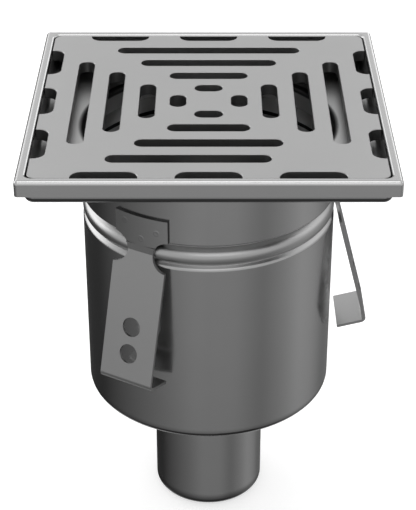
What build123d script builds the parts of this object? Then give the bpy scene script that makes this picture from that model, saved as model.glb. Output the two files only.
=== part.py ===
from build123d import *
from math import cos, radians, sin, tan
import os

# Floor gully with a foul-air trap, for a tiled floor: a pressed square frame with a slotted
# grating, a round body with a rolled seat for the trap, an outlet spigot, and three anchor
# lugs that are bent out by hand and cast into the floor.
# The origin is the centre of the outlet's lower end. +Z points up and -Y is the front.
# All lengths are in millimetres. A "drop" is a depth below the finished floor, which is
# the top of the frame's rim.

total_height = 200.0

# Frame, pressed from one square sheet
frame_size = 150.0
frame_sheet = 1.2
frame_corner = 1.6
rim_width = 3.9
rim_outer_bend = 1.5
rim_inner_bend = 1.2
skirt_height = 6.6
tray_depth = 10.5
tray_draft = 3.5
tray_corner = 3.2
tray_bend = 1.8
throat_bend = 1.2
collar_drop = 20.0

# Grating, cut from plate. A share is a part of the grating's width. Each row of slots
# has its distance from the centre and its length.
grate_thickness = 5.0
grate_drop = 0.5
grate_gap = 0.5
grate_corner_ease = 0.6
edge_break = 0.25
slot_width = 7.0
slot_row_shares = ((0.092, 0.085), (0.184, 0.241), (0.283, 0.425), (0.382, 0.581))
front_slot_share = 0.467
notch_width_share = 0.186
notch_spacing_share = 0.288
notch_depth = 5.6
notch_corner = 4.8
stud_diameter = 9.0
stud_inset = 10.5

# Body, a rolled neck on a drawn pot
body_diameter = 110.0
body_sheet = 1.0
ridge_drop = 46.8
ridge_roll = 3.5
ridge_slope = 50.0
upper_groove_depth = 3.7
upper_groove_slope = 60.0
lower_groove_depth = 1.9
shoulder_slope = 47.0
shoulder_roll = 1.1
seat_crease = 0.65
neck_tail = 3.0
body_drop = 137.7
body_bend = 3.0

# Outlet spigot
outlet_diameter = 50.0
outlet_sheet = 1.0
outlet_lip = 4.0

# Anchor lugs
lug_names = ("lug_right", "lug_rear", "lug_front_left")
lug_width = 25.0
lug_sheet = 1.25
lug_top_drop = 29.7
lug_bend_drop = 46.3
lug_length = 59.3
lug_tilt = 14.5
lug_bend = 1.2
lug_foot = 13.5
lug_relief_radius = 6.5
lug_hole_diameter = 8.5
lug_hole_spacing = 12.0
lug_hole_margin = 13.8
weld_gap = 0.05

# Foul-air trap, lifted out by its handle for cleaning
trap_sheet = 1.0
trap_clearance = 0.5
trap_top_drop = 41.0
trap_rim_lip = 2.6
funnel_wall_depth = 11.0
funnel_bend = 2.0
funnel_slope_depth = 8.0
funnel_land = 5.0
dip_diameter = 38.0
water_seal = 50.0
cup_diameter = 87.0
cup_rim_gap = 9.0
cup_floor_gap = 9.0
cup_bend = 6.0
web_count = 3
web_sheet = 2.0
web_height = 24.0
web_rim_gap = 6.0
seal_clearance = 0.25
handle_width = 14.0
handle_sheet = 1.5
handle_rise = 9.0
handle_top_length = 44.0
handle_foot = 8.0
handle_bend = 4.0

floor_level = total_height
body_radius = body_diameter / 2
body_mid = body_radius - body_sheet / 2
outlet_mid = outlet_diameter / 2 - outlet_sheet / 2
outlet_bore = outlet_diameter / 2 - outlet_sheet
tray_floor = floor_level - tray_depth
tray_opening = frame_size - 2 * rim_width
collar_end = floor_level - collar_drop
body_bottom = floor_level - body_drop
body_top = tray_floor - frame_sheet - throat_bend - weld_gap

# In section the seat is a deep groove, a round ridge and a shallow groove. The corner points
# of its middle line lie on slopes, and each bend rounds off its corner. A slope is the angle
# by which a face tilts from upright.
ridge_cot = 1 / tan(radians(ridge_slope))
ridge_level = floor_level - ridge_drop
ridge_centre = body_mid - ridge_roll
ridge_corner = ridge_centre + ridge_roll / cos(radians(ridge_slope))
upper_groove_mid = body_mid - upper_groove_depth
upper_groove_level = ridge_level + (ridge_corner - upper_groove_mid) * ridge_cot
seat_top = upper_groove_level + upper_groove_depth / tan(radians(upper_groove_slope))
seat_bore = upper_groove_mid - body_sheet / 2
lower_groove_mid = body_mid - lower_groove_depth
lower_groove_level = ridge_level - (ridge_corner - lower_groove_mid) * ridge_cot
seat_bottom = lower_groove_level - lower_groove_depth / tan(radians(shoulder_slope))
neck_end = seat_bottom - neck_tail

os.makedirs("parts", exist_ok=True)


def side_plane(azimuth):
    """The upright plane through the axis that faces the given azimuth: X is outward, Y is up."""
    outward = (cos(radians(azimuth)), sin(radians(azimuth)), 0)
    return Plane((0, 0, 0), x_dir=outward, z_dir=(outward[1], -outward[0], 0))


def downward_plane(level):
    """A level plane that looks down, for tapered walls that narrow towards the bottom."""
    return Plane((0, 0, level), x_dir=(1, 0, 0), z_dir=(0, 0, -1))


# Frame: a flat rim with its edge folded down, a shallow tray with drafted walls,
# and a round throat that turns down into a short collar, which fits inside the body
with BuildPart() as frame:
    with BuildSketch(Plane.XY.offset(floor_level - skirt_height)):
        RectangleRounded(frame_size, frame_size, frame_corner)
    extrude(amount=skirt_height)
    fillet(frame.faces().sort_by(Axis.Z)[-1].edges(), rim_outer_bend)
    with BuildSketch(Plane.XY.offset(floor_level - skirt_height)):
        inside_skirt = frame_size - 2 * frame_sheet
        RectangleRounded(inside_skirt, inside_skirt, frame_corner - frame_sheet)
    extrude(amount=skirt_height - frame_sheet, mode=Mode.SUBTRACT)

    with BuildSketch(downward_plane(floor_level - frame_sheet / 2)):
        tray_outside = tray_opening + 2 * frame_sheet
        RectangleRounded(tray_outside, tray_outside, tray_corner + frame_sheet)
    extrude(amount=tray_depth + frame_sheet / 2, taper=tray_draft)
    fillet(frame.faces().sort_by(Axis.Z)[0].edges(), tray_bend + frame_sheet)
    with BuildSketch(downward_plane(floor_level)):
        RectangleRounded(tray_opening, tray_opening, tray_corner)
    extrude(amount=tray_depth, taper=tray_draft, mode=Mode.SUBTRACT)
    tray_floor_face = frame.faces().filter_by(Axis.Z).sort_by(lambda f: abs(f.center().Z - tray_floor))[0]
    fillet(tray_floor_face.edges(), tray_bend)
    rim_face = frame.faces().sort_by(Axis.Z)[-1]
    fillet(rim_face.inner_wires()[0].edges(), rim_inner_bend)

    collar_mid = body_radius - body_sheet - weld_gap - frame_sheet / 2
    floor_mid = tray_floor - frame_sheet / 2
    throat_opening = collar_mid + throat_bend + 2 * frame_sheet
    with Locations((0, 0, floor_mid)):
        Cylinder(throat_opening, 2 * frame_sheet, mode=Mode.SUBTRACT)
    with BuildSketch(Plane.XZ):
        with BuildLine():
            FilletPolyline(
                (throat_opening, floor_mid),
                (collar_mid, floor_mid),
                (collar_mid, collar_end),
                radius=throat_bend + frame_sheet / 2,
            )
        trace(line_width=frame_sheet)
    revolve(axis=Axis.Z)

# Grating: slots in four groups that face the middle, and open notches along its edge.
# The front outermost slot is shorter, so the front right corner stays plain.
grate_size = tray_opening - 2 * grate_gap
grate_corner = tray_corner + grate_corner_ease
grate_top = floor_level - grate_drop
grate_underside = grate_top - grate_thickness
with BuildPart() as grating:
    with BuildSketch(Plane.XY.offset(grate_underside)):
        RectangleRounded(grate_size, grate_size, grate_corner)
        notch_width = notch_width_share * grate_size
        notch_spacing = notch_spacing_share * grate_size
        for side in range(4):
            turned = Location((0, 0, 0), (0, 0, 90.0 * side))
            for distance_share, length_share in slot_row_shares:
                is_front_outer = side == 3 and distance_share == slot_row_shares[-1][0]
                slot_share = front_slot_share if is_front_outer else length_share
                shift = (length_share - slot_share) * grate_size / 2
                with Locations(turned * Location((distance_share * grate_size, -shift, 0))):
                    SlotOverall(slot_share * grate_size, slot_width, rotation=90, mode=Mode.SUBTRACT)
            for along in (-notch_spacing, 0.0, notch_spacing):
                with Locations(turned * Location((grate_size / 2, along, 0))):
                    RectangleRounded(2 * notch_depth, notch_width, notch_corner, mode=Mode.SUBTRACT)
    extrude(amount=grate_thickness)
    chamfer(grating.faces().sort_by(Axis.Z)[-1].edges(), edge_break)

# Four short studs under the grating's corners hold it above the tray's floor.
with BuildPart() as grating_studs:
    stud_spacing = grate_size - 2 * stud_inset
    with BuildSketch(Plane.XY.offset(tray_floor)):
        with GridLocations(stud_spacing, stud_spacing, 2, 2):
            Circle(stud_diameter / 2)
    extrude(amount=grate_underside - tray_floor)

# Neck: a tube with the seat rolled into its wall
with BuildPart() as gully_neck:
    with BuildSketch(Plane.XZ):
        with BuildLine():
            FilletPolyline(
                (body_mid, body_top),
                (body_mid, seat_top),
                (upper_groove_mid, upper_groove_level),
                (ridge_corner, ridge_level),
                (lower_groove_mid, lower_groove_level),
                (body_mid, seat_bottom),
                (body_mid, neck_end),
                radius=[seat_crease, seat_crease, ridge_roll, seat_crease, shoulder_roll],
            )
        trace(line_width=body_sheet)
    revolve(axis=Axis.Z)

# Body: a drawn pot, butt-welded to the neck and open towards the outlet
with BuildPart() as gully_body:
    with BuildSketch(Plane.XZ):
        with BuildLine():
            FilletPolyline(
                (body_mid, neck_end),
                (body_mid, body_bottom + body_sheet / 2),
                (outlet_bore, body_bottom + body_sheet / 2),
                radius=body_bend - body_sheet / 2,
            )
        trace(line_width=body_sheet)
    revolve(axis=Axis.Z)

# Outlet spigot: a welded tube with its lower end turned in, so that it enters a socket's seal
with BuildPart() as outlet_spigot:
    with BuildSketch(Plane.XZ):
        with BuildLine():
            straight = Line((outlet_mid, body_bottom), (outlet_mid, outlet_lip))
            JernArc(straight @ 1, straight % 1, outlet_lip - outlet_sheet / 2, -90)
        trace(line_width=outlet_sheet)
    revolve(axis=Axis.Z)

# Anchor lugs: a curved tab welded to the neck, a waist that is easy to bend by hand,
# and a tilted plate with two holes and an inturned foot
lug_mid = body_radius + weld_gap + lug_sheet / 2
lug_bend_level = floor_level - lug_bend_drop
lug_top = floor_level - lug_top_drop
plate_down = Vector(sin(radians(lug_tilt)), -cos(radians(lug_tilt)))
foot_inward = Vector(-cos(radians(lug_tilt)), -sin(radians(lug_tilt)))
lugs = {}
for number, lug_name in enumerate(lug_names):
    upright = side_plane(number * 360 / len(lug_names))
    outward = upright.x_dir
    sideways = Vector(0, 0, 1).cross(outward)
    with BuildPart() as lug:
        with BuildSketch(upright):
            bend_point = Vector(lug_mid, lug_bend_level)
            plate_end = bend_point + plate_down * (lug_length - lug_sheet / 2)
            foot_end = plate_end + foot_inward * (lug_foot - lug_sheet / 2)
            with BuildLine():
                FilletPolyline(
                    (lug_mid, lug_bend_level + lug_relief_radius / 2),
                    (bend_point.X, bend_point.Y),
                    (plate_end.X, plate_end.Y),
                    (foot_end.X, foot_end.Y),
                    radius=[lug_bend, lug_bend + lug_sheet / 2],
                )
            trace(line_width=lug_sheet)
        extrude(amount=lug_width / 2, both=True)
        with BuildSketch(Plane((0, 0, lug_bend_level), x_dir=outward, z_dir=(0, 0, 1))):
            Circle(lug_mid + lug_sheet / 2)
            Circle(lug_mid - lug_sheet / 2, mode=Mode.SUBTRACT)
            strip_length = 2 * body_radius
            Rectangle(strip_length, lug_width, align=(Align.MIN, Align.CENTER), mode=Mode.INTERSECT)
        extrude(amount=lug_top - lug_bend_level)
        with BuildSketch(Plane((0, 0, lug_bend_level), x_dir=sideways, z_dir=outward)):
            with Locations((-lug_width / 2, 0), (lug_width / 2, 0)):
                Circle(lug_relief_radius)
        extrude(amount=2 * body_radius, mode=Mode.SUBTRACT)
        plate_start = upright.from_local_coords((lug_mid, lug_bend_level, 0))
        down = upright.from_local_coords((plate_down.X, plate_down.Y, 0))
        plate_plane = Plane(plate_start, x_dir=down, z_dir=down.cross(sideways))
        with BuildSketch(plate_plane):
            lower_hole = lug_length - lug_hole_margin
            with Locations((lower_hole, 0), (lower_hole - lug_hole_spacing, 0)):
                Circle(lug_hole_diameter / 2)
        extrude(amount=lug_sheet, both=True, mode=Mode.SUBTRACT)
    lugs[lug_name] = lug

# Trap funnel: a rim that carries the seal, an upright wall and a shallow cone
# down to the opening of the dip tube
trap_radius = seat_bore - trap_clearance
trap_top = floor_level - trap_top_drop
funnel_wall_mid = trap_radius - trap_rim_lip - trap_sheet / 2
cone_top = trap_top - funnel_wall_depth
cone_bottom = cone_top - funnel_slope_depth
dip_radius = dip_diameter / 2
dip_bore = dip_radius - trap_sheet
with BuildPart() as trap_funnel:
    with BuildSketch(Plane.XZ):
        with BuildLine():
            FilletPolyline(
                (trap_radius, trap_top - trap_sheet / 2),
                (funnel_wall_mid, trap_top - trap_sheet / 2),
                (funnel_wall_mid, cone_top),
                (dip_radius + funnel_land, cone_bottom),
                (dip_bore, cone_bottom),
                radius=[trap_sheet, funnel_bend, funnel_bend],
            )
        trace(line_width=trap_sheet)
    revolve(axis=Axis.Z)

# Dip tube: reaches into the cup's water by the depth of the water seal
dip_top = cone_bottom - trap_sheet / 2
cup_radius = cup_diameter / 2
cup_rim = cone_top - cup_rim_gap
dip_end = cup_rim - water_seal
with BuildPart() as trap_dip_tube:
    with BuildSketch(Plane.XY.offset(dip_end)):
        Circle(dip_radius)
        Circle(dip_bore, mode=Mode.SUBTRACT)
    extrude(amount=dip_top - dip_end)

# Trap cup: holds the water round the dip tube and spills over its rim into the body
cup_bottom = dip_end - cup_floor_gap - trap_sheet
with BuildPart() as trap_cup:
    with BuildSketch(Plane.XZ):
        cup_wall_mid = cup_radius - trap_sheet / 2
        cup_floor_mid = cup_bottom + trap_sheet / 2
        with BuildLine():
            FilletPolyline(
                (cup_wall_mid, cup_rim),
                (cup_wall_mid, cup_floor_mid),
                (0, cup_floor_mid),
                radius=cup_bend - trap_sheet / 2,
            )
        trace(line_width=trap_sheet)
    revolve(axis=Axis.Z)

# Webs: upright strips that hold the cup on the dip tube
webs = []
for number in range(web_count):
    with BuildPart() as web:
        with BuildSketch(side_plane(90 + number * 360 / web_count)):
            web_start = dip_radius + weld_gap
            web_end = cup_radius - trap_sheet - weld_gap
            web_top = cup_rim - web_rim_gap
            with Locations((web_start, web_top)):
                Rectangle(web_end - web_start, web_height, align=(Align.MIN, Align.MAX))
        extrude(amount=web_sheet / 2, both=True)
    webs.append(web)

# Trap seal: a rubber sleeve round the funnel's wall, with a bead that fills the seat's channel
with BuildPart() as trap_seal:
    with BuildSketch(Plane.XZ):
        sleeve_inside = funnel_wall_mid + trap_sheet / 2 + weld_gap
        sleeve_top = trap_top - 2 * trap_sheet
        bead_radius = ridge_roll - body_sheet / 2 - seal_clearance
        with Locations((sleeve_inside, sleeve_top)):
            sleeve_height = sleeve_top - cone_top
            Rectangle(trap_radius - sleeve_inside, sleeve_height, align=(Align.MIN, Align.MAX))
        with Locations((ridge_centre, ridge_level)):
            Circle(bead_radius)
    revolve(axis=Axis.Z)

# Handle: a bent strip across the funnel, with its feet welded to the funnel's wall
with BuildPart() as trap_handle:
    with BuildSketch(Plane.XZ):
        foot_x = funnel_wall_mid - trap_sheet / 2 - handle_sheet / 2 - 2 * trap_clearance
        foot_top = cone_top + handle_foot
        top_z = foot_top + handle_rise
        with BuildLine():
            FilletPolyline(
                (-foot_x, cone_top + trap_sheet),
                (-foot_x, foot_top),
                (-handle_top_length / 2, top_z),
                (handle_top_length / 2, top_z),
                (foot_x, foot_top),
                (foot_x, cone_top + trap_sheet),
                radius=handle_bend,
            )
        trace(line_width=handle_sheet)
    extrude(amount=handle_width / 2, both=True)

frame.part.label = "frame"
export_step(frame.part, "parts/frame.step")
grating.part.label = "grating"
export_step(grating.part, "parts/grating.step")
grating_studs.part.label = "grating_studs"
export_step(grating_studs.part, "parts/grating_studs.step")
gully_neck.part.label = "gully_neck"
export_step(gully_neck.part, "parts/gully_neck.step")
gully_body.part.label = "gully_body"
export_step(gully_body.part, "parts/gully_body.step")
outlet_spigot.part.label = "outlet_spigot"
export_step(outlet_spigot.part, "parts/outlet_spigot.step")
for lug_name, lug in lugs.items():
    lug.part.label = lug_name
    export_step(lug.part, f"parts/{lug_name}.step")
trap_funnel.part.label = "trap_funnel"
export_step(trap_funnel.part, "parts/trap_funnel.step")
trap_dip_tube.part.label = "trap_dip_tube"
export_step(trap_dip_tube.part, "parts/trap_dip_tube.step")
trap_cup.part.label = "trap_cup"
export_step(trap_cup.part, "parts/trap_cup.step")
for number, web in enumerate(webs, start=1):
    web.part.label = f"trap_web_{number}"
    export_step(web.part, f"parts/trap_web_{number}.step")
trap_seal.part.label = "trap_seal"
export_step(trap_seal.part, "parts/trap_seal.step")
trap_handle.part.label = "trap_handle"
export_step(trap_handle.part, "parts/trap_handle.step")
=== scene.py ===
from math import cos, pi, radians, sin

import bmesh
import bpy
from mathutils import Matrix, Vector


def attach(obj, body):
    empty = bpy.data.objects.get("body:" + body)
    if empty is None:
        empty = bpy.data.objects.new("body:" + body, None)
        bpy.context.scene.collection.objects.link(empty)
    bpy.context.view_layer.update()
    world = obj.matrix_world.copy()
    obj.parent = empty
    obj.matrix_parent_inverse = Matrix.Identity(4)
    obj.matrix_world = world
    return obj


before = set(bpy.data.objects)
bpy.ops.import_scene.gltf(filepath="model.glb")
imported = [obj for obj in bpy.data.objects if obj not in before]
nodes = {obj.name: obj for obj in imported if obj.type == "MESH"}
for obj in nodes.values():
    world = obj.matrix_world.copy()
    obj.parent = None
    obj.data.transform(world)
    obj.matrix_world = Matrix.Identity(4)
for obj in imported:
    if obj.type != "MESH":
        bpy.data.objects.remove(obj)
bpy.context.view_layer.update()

scene = bpy.context.scene
MM = 0.001


# Shader maths

class Tone:
    """A value that varies over a surface. Arithmetic on it adds Math nodes to its tree."""

    def __init__(self, tree, socket):
        self.tree = tree
        self.socket = socket

    def math(self, operation, *values):
        settings = {"operation": operation}
        return self.tree.node("ShaderNodeMath", settings, dict(enumerate(values)))

    def __add__(self, other):
        return self.math("ADD", self, other)

    def __sub__(self, other):
        return self.math("SUBTRACT", self, other)

    def __rsub__(self, other):
        return self.math("SUBTRACT", other, self)

    def __mul__(self, other):
        return self.math("MULTIPLY", self, other)

    def __truediv__(self, other):
        return self.math("DIVIDE", self, other)

    def __rtruediv__(self, other):
        return self.math("DIVIDE", other, self)

    def __abs__(self):
        return self.math("ABSOLUTE", self)

    __radd__ = __add__
    __rmul__ = __mul__

    def root(self):
        return self.math("SQRT", self)

    def larger(self, other):
        return self.math("MAXIMUM", self, other)


class Tree:
    """The nodes of one material or of the world."""

    def __init__(self, owner):
        owner.use_nodes = True
        self.tree = owner.node_tree
        self.tree.nodes.clear()

    def node(self, kind, settings=None, sockets=None, output=0):
        """Adds a node: its settings first, then its sockets by name, number or identifier."""
        made = self.tree.nodes.new(kind)
        for name, value in (settings or {}).items():
            if name == "stops":
                self.set_stops(made.color_ramp, value)
            else:
                setattr(made, name, value)
        for name, value in (sockets or {}).items():
            socket = self.find(made.inputs, name)
            if isinstance(value, Tone):
                self.tree.links.new(value.socket, socket)
            else:
                socket.default_value = value
        return Tone(self, self.find(made.outputs, output)) if made.outputs else made

    @staticmethod
    def find(sockets, name):
        if isinstance(name, int):
            return sockets[name]
        return next(s for s in sockets if name in (s.identifier, s.name))

    @staticmethod
    def set_stops(ramp, stops):
        while len(ramp.elements) < len(stops):
            ramp.elements.new(1.0)
        for element, (place, tone) in zip(ramp.elements, stops):
            element.position = place
            element.color = grey(tone)

    def seen_directly(self):
        """1 for rays that show the background, straight or in metal, and 0 for rays that light."""
        camera, glossy, through = (
            self.node("ShaderNodeLightPath", output=f"Is {kind} Ray")
            for kind in ("Camera", "Glossy", "Transmission"))
        return camera.larger(glossy).larger(through)


class Finish(Tree):
    """A surface finish, with the measures of the gully that it can vary by."""

    def __init__(self, name):
        self.material = bpy.data.materials.new(name)
        super().__init__(self.material)

    def noise(self, scale, detail=3.0, stretch=(1.0, 1.0, 1.0), roughness=0.55):
        place = self.node("ShaderNodeTexCoord", output="Object")
        stretched = self.node("ShaderNodeMapping", {}, {"Vector": place, "Scale": stretch})
        return self.node("ShaderNodeTexNoise", {}, {
            "Vector": stretched, "Scale": scale, "Detail": detail, "Roughness": roughness}, "Fac")

    def parts_of(self, kind, output, axes):
        """The parts of a place or a direction along the axes named."""
        split = {"Vector": self.node(kind, output=output)}
        return [self.node("ShaderNodeSeparateXYZ", {}, split, axis) for axis in axes]

    def place(self, axes):
        return self.parts_of("ShaderNodeTexCoord", "Object", axes)

    def facing(self, axes):
        return self.parts_of("ShaderNodeNewGeometry", "Normal", axes)

    def smooth_step(self, value, start, end):
        """0 up to the start, 1 from the end, with a soft change between them."""
        return self.node("ShaderNodeMapRange", {"interpolation_type": "SMOOTHSTEP"}, {
            "Value": value, "From Min": start, "From Max": end}, "Result")

    def by_level(self, start, end):
        """A soft step between two levels above the outlet's lower end, in millimetres."""
        level, = self.place("Z")
        return self.smooth_step(level, start * MM, end * MM)

    def by_reach(self, start, end):
        """A soft step between two distances from the gully's axis, in millimetres."""
        return self.smooth_step(self.reach(), start * MM, end * MM)

    def by_rise(self, start, end):
        """A soft step by how far a face looks up: 1 on a level top, -1 on an underside."""
        rise, = self.facing("Z")
        return self.smooth_step(rise, start, end)

    def by_outlook(self, start, end):
        """A soft step by how far a face looks away from the axis: 1 outwards, -1 inwards."""
        return self.smooth_step(self.outlook(), start, end)

    def reach(self):
        x, y = self.place("XY")
        return (x * x + y * y).root()

    def outlook(self):
        (x, y), (across, along) = self.place("XY"), self.facing("XY")
        return (x * across + y * along) / self.reach()

    def blend(self, factor, low, high):
        return self.node("ShaderNodeMix", {"data_type": "RGBA"}, {
            "Factor_Float": factor, "A_Color": low, "B_Color": high}, "Result_Color")

    def ramp(self, value, stops):
        return self.node("ShaderNodeValToRGB", {"stops": stops}, {"Fac": value}, "Color")

    def bump(self, height, strength, distance):
        return self.node("ShaderNodeBump", {}, {
            "Height": height, "Strength": strength, "Distance": distance}, "Normal")

    def surface(self, **sockets):
        named = {name.replace("_", " "): value for name, value in sockets.items()}
        self.show(self.node("ShaderNodeBsdfPrincipled", {}, named))
        return self.material

    def show(self, shader):
        self.node("ShaderNodeOutputMaterial", {}, {"Surface": shader})


def grey(tone):
    return (tone, tone, tone, 1.0)


# Steel and rubber

def steel(name, tone, roughness, grain_scale, grain_stretch=(1.0, 1.0, 1.0),
          grain_depth=0.001, painted_light_and_shade=(), dull=None):
    """Satin stainless steel: faint clouds of tone, and a grain that varies gloss and relief.
    Each shade is a pair: which faces get painted light or painted shade, and by what factor
    their tone does. The dull pair is which faces are rougher, and by how much. The grain's
    depth is in millimetres."""
    finish = Finish(name)
    clouds = finish.noise(38.0, 4.0)
    grain = finish.noise(grain_scale, 5.0, grain_stretch, 0.65)
    cloud = 0.04
    colour = finish.blend(clouds, grey(tone * (1 - cloud)), grey(tone * (1 + cloud)))
    for where, factor in painted_light_and_shade:
        colour = finish.blend(where(finish), colour, grey(tone * factor))
    gloss = roughness * 0.85 + grain * (roughness * 0.2) + clouds * (roughness * 0.1)
    if dull:
        where, rougher = dull
        gloss = gloss + where(finish) * rougher
    return finish.surface(
        Base_Color=colour, Metallic=1.0, Roughness=gloss,
        Normal=finish.bump(grain, 0.3, grain_depth * MM))


def rubber(name):
    finish = Finish(name)
    dust = finish.noise(60.0, 4.0)
    pores = finish.noise(2200.0, 2.0)
    return finish.surface(
        Base_Color=finish.blend(dust, grey(0.016), grey(0.035)),
        Roughness=0.5 + dust * 0.2,
        Normal=finish.bump(pores, 0.3, 0.02 * MM))


# Where a finish differs: each of these is 1 on the faces that it names and 0 on all others.
# Most of them mark where light or shade is painted into the steel's tone; tray_faces and
# seat_rolls only make faces rougher.

def cut_faces(finish):
    """The upright faces of a level plate."""
    return finish.by_rise(0.8, 0.4)


def inside_faces(finish):
    """The faces below the rim that look at the axis of the gully."""
    return finish.by_outlook(-0.08, -0.22) * finish.by_level(198, 195)


def tray_faces(finish):
    """The walls and the floor of the tray, without the rim and its skirt."""
    return finish.by_level(198, 196) * finish.by_outlook(0.3, 0.1)


def rim_flat(finish):
    """The level top of the rim."""
    return finish.by_rise(0.9, 0.97) * finish.by_level(199, 199.5)


def rim_bend_highlights(finish):
    """The bends on both sides of the rim's top, where a highlight is painted."""
    slanted = finish.by_rise(0.1, 0.3) * finish.by_rise(0.97, 0.9)
    return slanted * finish.by_level(197.5, 198.5)


def throat(finish):
    """The throat under the tray's floor, with its bend and its collar."""
    return finish.by_reach(56.0, 54.6)


def shaded_throat_bend(finish):
    """The bend at the top of the throat, painted dark to hide its highlight."""
    return throat(finish) * finish.by_level(186.5, 187.5)


def collar_faces(finish):
    """The collar below the throat's bend."""
    return throat(finish) * finish.by_level(187.5, 186.5)


def underside(finish):
    """The faces that look down."""
    return finish.by_rise(-0.02, -0.2)


def inner_shadow_band(finish):
    """A band of painted shadow that runs round the inside of the neck."""
    seam = finish.by_level(170.6, 170.9) * finish.by_level(172.7, 172.4)
    return seam * finish.by_outlook(-0.3, -0.6)


def seat_rolls(finish):
    """The seat rolled into the neck, without the plain wall above and below it."""
    return finish.by_level(147.5, 148.5) * finish.by_level(160.5, 159.5)


def bottom_bends(finish):
    """The faces of the pot and the outlet that look down."""
    return underside(finish) * finish.by_level(140, 130)


def pot_edge(finish):
    """The bend round the pot's bottom, fading out just above it."""
    return finish.by_level(67.5, 64.0) * finish.by_level(61.9, 62.4)


def outlet_end(finish):
    """The outlet's lip, fading out just above it."""
    return finish.by_level(7.5, 3.5)


def tab_faces(finish):
    """The upright tab of a lug, without its tilted plate."""
    return finish.by_level(153.5, 154.5)


def sheet_edges(finish):
    """The cut edges of a lug's tab."""
    return finish.smooth_step(abs(finish.outlook()), 0.5, 0.25) * finish.by_level(155, 156)


def back_faces(finish):
    """The faces of a lug that look at the gully."""
    return finish.by_outlook(-0.5, -0.8)


def foot_underside(finish):
    """The bend and the underside of a lug's foot."""
    return finish.by_rise(-0.3, -0.5)


# The frame: painted shade darkens the tray's inside faces, the undersides, the rim's flat top and
# the throat's bend, where it hides a highlight. Painted light brightens the collar and, as a
# highlight, the rim's bends.
satin_frame = steel(
    "satin_frame_steel", tone=0.375, roughness=0.22, grain_scale=900.0,
    painted_light_and_shade=((inside_faces, 0.75), (collar_faces, 1.3), (shaded_throat_bend, 0.12),
            (underside, 0.2), (rim_flat, 0.87), (rim_bend_highlights, 1.12)),
    dull=(tray_faces, 0.2))
# The grating: painted shade darkens the upright faces of its slots.
blasted_plate = steel(
    "blasted_plate_steel", tone=0.315, roughness=0.40, grain_scale=1600.0, grain_depth=0.004,
    painted_light_and_shade=((cut_faces, 0.6),))
# The neck, pot and outlet: painted light brightens the inside faces. Painted shade darkens a band
# round the inside of the neck, the outlet's lip, the bend round the pot's bottom and the faces
# that look down.
drawn_body = steel(
    "drawn_body_steel", tone=0.33, roughness=0.20, grain_scale=420.0,
    grain_stretch=(1.0, 1.0, 9.0),
    painted_light_and_shade=((inside_faces, 1.5), (inner_shadow_band, 0.03), (outlet_end, 0.38),
            (pot_edge, 0.5), (bottom_bends, 0.15)),
    dull=(seat_rolls, 0.11))
# The lugs: painted light brightens the tabs a little and their faces towards the gully a lot.
# Painted shade darkens the tabs' cut edges and the feet's bends and undersides.
strip = steel(
    "mill_strip_steel", tone=0.285, roughness=0.36, grain_scale=500.0,
    grain_stretch=(1.0, 1.0, 5.0), grain_depth=0.0001,
    painted_light_and_shade=((tab_faces, 1.06), (sheet_edges, 0.3), (back_faces, 3.2), (foot_underside, 0.4)))
trap_metal = steel(
    "trap_steel", tone=0.55, roughness=0.40, grain_scale=500.0, grain_stretch=(1.0, 1.0, 6.0))
weld_metal = steel(
    "weld_metal_steel", tone=0.28, roughness=0.36, grain_scale=700.0, grain_depth=0.01)
seal_skin = rubber("seal_rubber_black")

# The rest of the nodes belong to the lift-out trap and are of its metal.
finishes = {
    "frame": satin_frame,
    "grating": blasted_plate,
    "grating_studs": blasted_plate,
    "gully_neck": drawn_body,
    "gully_body": drawn_body,
    "outlet_spigot": drawn_body,
    "lug_right": strip,
    "lug_rear": strip,
    "lug_front_left": strip,
    "trap_seal": seal_skin,
}
for node_name, node in nodes.items():
    node.data.materials.clear()
    node.data.materials.append(finishes.get(node_name, trap_metal))


# Small pieces on the steel

def add_piece(name, fill_mesh):
    """Makes a piece of weld metal that stays with the body of the gully."""
    mesh = bpy.data.meshes.new(name)
    builder = bmesh.new()
    fill_mesh(builder)
    bmesh.ops.recalc_face_normals(builder, faces=builder.faces)
    builder.to_mesh(mesh)
    builder.free()
    mesh.shade_smooth()
    mesh.materials.append(weld_metal)
    piece = bpy.data.objects.new(name, mesh)
    scene.collection.objects.link(piece)
    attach(piece, "root")


def circle(count):
    """The cosine and sine of evenly spaced turns."""
    turns = [2 * pi * i / count for i in range(count)]
    return [(cos(turn), sin(turn)) for turn in turns]


def bridge(builder, loop, next_loop):
    """Fills the band between two closed loops of as many vertices."""
    for i in range(len(loop)):
        j = (i + 1) % len(loop)
        builder.faces.new((loop[i], loop[j], next_loop[j], next_loop[i]))


def ring_bead(radius, level, width, rise, ripple, ripples):
    """A weld bead round a tube: a low rippled ring, half sunk into the metal."""
    steps_per_ripple = 4
    section = circle(8)

    def build(builder):
        loops = []
        for i, (x, y) in enumerate(circle(ripples * steps_per_ripple)):
            swell = 1 + ripple * sin(2 * pi * i / steps_per_ripple)
            loop = []
            for out, up in section:
                r = radius + rise * swell * out
                loop.append(builder.verts.new((r * x, r * y, level + width / 2 * swell * up)))
            loops.append(loop)
        for loop, next_loop in zip(loops, loops[1:] + loops[:1]):
            bridge(builder, loop, next_loop)
    return build


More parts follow.
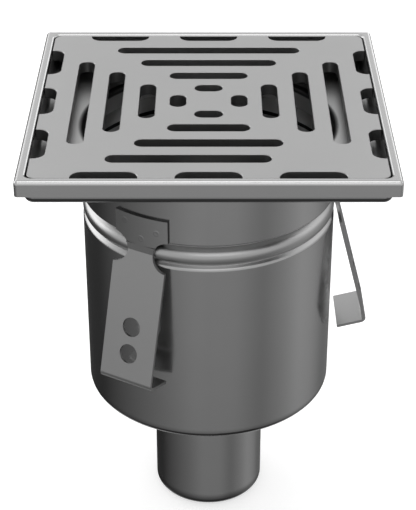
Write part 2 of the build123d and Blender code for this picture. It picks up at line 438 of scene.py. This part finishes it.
def spot_marks(azimuth, places, reach):
    """Shallow round marks where a tab is spot welded to the neck. The rings of a mark, from
    its edge to its middle, have a radius and a rise over the tab."""
    outward = Vector((cos(azimuth), sin(azimuth), 0))
    sideways = Vector((-sin(azimuth), cos(azimuth), 0))
    rings = ((1.5 * MM, -0.02 * MM), (1.25 * MM, 0.06 * MM),
             (0.95 * MM, 0.05 * MM), (0.6 * MM, 0.02 * MM))

    def build(builder):
        for side, level in places:
            loops = []
            for radius, rise in rings:
                loop = []
                for across, up in circle(20):
                    bend = (side + radius * across) / reach
                    point = (outward * cos(bend) + sideways * sin(bend)) * (reach + rise)
                    loop.append(builder.verts.new((point.x, point.y, level + radius * up)))
                loops.append(loop)
            for loop, next_loop in zip(loops, loops[1:]):
                bridge(builder, loop, next_loop)
            builder.faces.new(loops[-1])
    return build


neck_radius = 55 * MM
pot_bottom = 62.3 * MM
outlet_radius = 25 * MM
outlet_bead = ring_bead(
    outlet_radius, pot_bottom, width=2.4 * MM, rise=1.0 * MM, ripple=0.07, ripples=60)
add_piece("outlet_weld", outlet_bead)

tab_face = neck_radius + 1.3 * MM
tab_marks = ((-7.6 * MM, 166.6 * MM), (0.4 * MM, 160.2 * MM), (7.6 * MM, 164.2 * MM))
for lug_name, azimuth in (("right", 0), ("rear", 120), ("front_left", 240)):
    marks = spot_marks(radians(azimuth), tab_marks, tab_face)
    add_piece(f"spot_marks_{lug_name}", marks)


# Studio

middle = (0, 0, 0.13)


def set_world():
    world = bpy.data.worlds.new("studio")
    scene.world = world
    tree = Tree(world)
    ambient = 0.55
    light = ambient + tree.seen_directly() * (1.0 - ambient)
    background = tree.node("ShaderNodeBackground", {}, {"Color": light, "Strength": 1.0})
    tree.node("ShaderNodeOutputWorld", {}, {"Surface": background})


def add_floor():
    """White paper that takes the gully's shadow."""
    finish = Finish("studio_paper")
    paper = finish.node("ShaderNodeBsdfDiffuse", {}, {"Color": grey(0.8)})
    glow = finish.node("ShaderNodeEmission", {}, {
        "Color": finish.seen_directly() * 0.58, "Strength": 1.0})
    finish.show(finish.node("ShaderNodeAddShader", {}, {0: paper, 1: glow}))
    mesh = bpy.data.meshes.new("floor")
    half = 6.0
    corners = [(-half, -half, 0), (half, -half, 0), (half, half, 0), (-half, half, 0)]
    mesh.from_pydata(corners, [], [(0, 1, 2, 3)])
    mesh.materials.append(finish.material)
    floor = bpy.data.objects.new("floor", mesh)
    floor.visible_glossy = False
    scene.collection.objects.link(floor)


def dome_finish(radius):
    """The studio's walls, in stops that go from the rear over the left, the front and the
    right: dark behind and on the left, grey in front, and a pale window on the right. They
    pale towards the horizon and darken a little low down. The ground pales to the back."""
    finish = Finish("studio_dome")
    x, y, z = finish.place("XYZ")
    turn = x.math("ARCTAN2", x, y * -1.0) / (2 * pi) + 0.5
    sides = finish.ramp(turn, (
        (0.00, 0.08), (0.10, 0.05), (0.17, 0.06), (0.29, 0.24), (0.37, 0.36),
        (0.46, 0.53), (0.57, 0.52), (0.64, 0.37), (0.70, 0.52), (0.76, 0.71),
        (0.81, 0.60), (0.88, 0.27), (0.94, 0.22)))
    height, back = z / radius, y / radius
    horizon = finish.smooth_step(height - back * 0.22, -0.28, 0.12)
    low = finish.smooth_step(height, -0.52, -0.64) * 0.22
    walls = (sides * (1 - horizon) + horizon) * (1 - low)
    deep = finish.smooth_step(height - back * 0.1, -0.72, -0.84)
    ground = 0.28 + finish.smooth_step(back, -0.1, 0.45) * 0.72
    tone = walls * (1 - deep) + ground * deep
    finish.show(finish.node("ShaderNodeEmission", {}, {"Color": tone, "Strength": 1.0}))
    return finish.material


def add_dome():
    """The lower part of the studio, which only reflections see."""
    radius = 4.0
    open_above = 0.35 * radius
    mesh = bpy.data.meshes.new("studio_dome")
    builder = bmesh.new()
    bmesh.ops.create_uvsphere(builder, u_segments=48, v_segments=24, radius=radius)
    above = [vertex for vertex in builder.verts if vertex.co.z > open_above]
    bmesh.ops.delete(builder, geom=above, context="VERTS")
    builder.to_mesh(mesh)
    builder.free()
    mesh.materials.append(dome_finish(radius))
    dome = bpy.data.objects.new("studio_dome", mesh)
    dome.location = middle
    scene.collection.objects.link(dome)
    for rays in ("camera", "diffuse", "transmission", "shadow", "volume_scatter"):
        setattr(dome, f"visible_{rays}", False)


def add_lamp(name, azimuth, elevation, distance, width, height, brightness):
    """A softbox that faces the object, at an azimuth from the front to the right, in degrees."""
    turn, rise = radians(azimuth), radians(elevation)
    direction = Vector((sin(turn) * cos(rise), -cos(turn) * cos(rise), sin(rise)))
    lamp = bpy.data.lights.new(name, "AREA")
    lamp.shape = "RECTANGLE"
    lamp.size = width
    lamp.size_y = height
    lamp.energy = brightness * pi * width * height
    softbox = bpy.data.objects.new(name, lamp)
    softbox.location = Vector(middle) + direction * distance
    softbox.rotation_euler = direction.to_track_quat("Z", "Y").to_euler()
    softbox.visible_camera = False
    scene.collection.objects.link(softbox)


def add_camera():
    """The view of the photo: from the front, looking down on the grating."""
    pitch = 30.971
    lens = bpy.data.cameras.new("camera")
    lens.sensor_fit = "VERTICAL"
    lens.sensor_height = 36.0
    lens.lens = 110.80
    lens.shift_x = -0.0012
    lens.shift_y = 0.0272
    lens.clip_start = 0.01
    camera = bpy.data.objects.new("camera", lens)
    camera.location = (0.0, -0.60665, 0.48045)
    camera.rotation_euler = (radians(90 - pitch), 0, 0)
    scene.collection.objects.link(camera)
    scene.camera = camera


# Each softbox has its azimuth and elevation in degrees, its distance from the middle of the
# object, its width and height in metres, and its brightness.
softboxes = (
    ("overhead_softbox", 0, 88, 1.2, 0.8, 0.6, 2.0),
    ("front_softbox", 8, 38, 1.6, 1.2, 0.85, 0.7),
    ("rear_softbox", 180, 33, 1.8, 2.0, 1.1, 0.35),
    ("left_softbox", -122, 15, 1.6, 1.2, 0.9, 2.0),
    ("rear_left_softbox", -157, 20, 1.7, 0.5, 0.5, 0.9),
    ("right_softbox", 108, 27, 1.6, 1.2, 0.75, 0.6),
    ("rear_right_softbox", 156, 13, 1.7, 0.6, 0.5, 1.4),
)

set_world()
add_floor()
add_dome()
for softbox in softboxes:
    add_lamp(*softbox)
add_camera()
scene.view_settings.view_transform = "Standard"
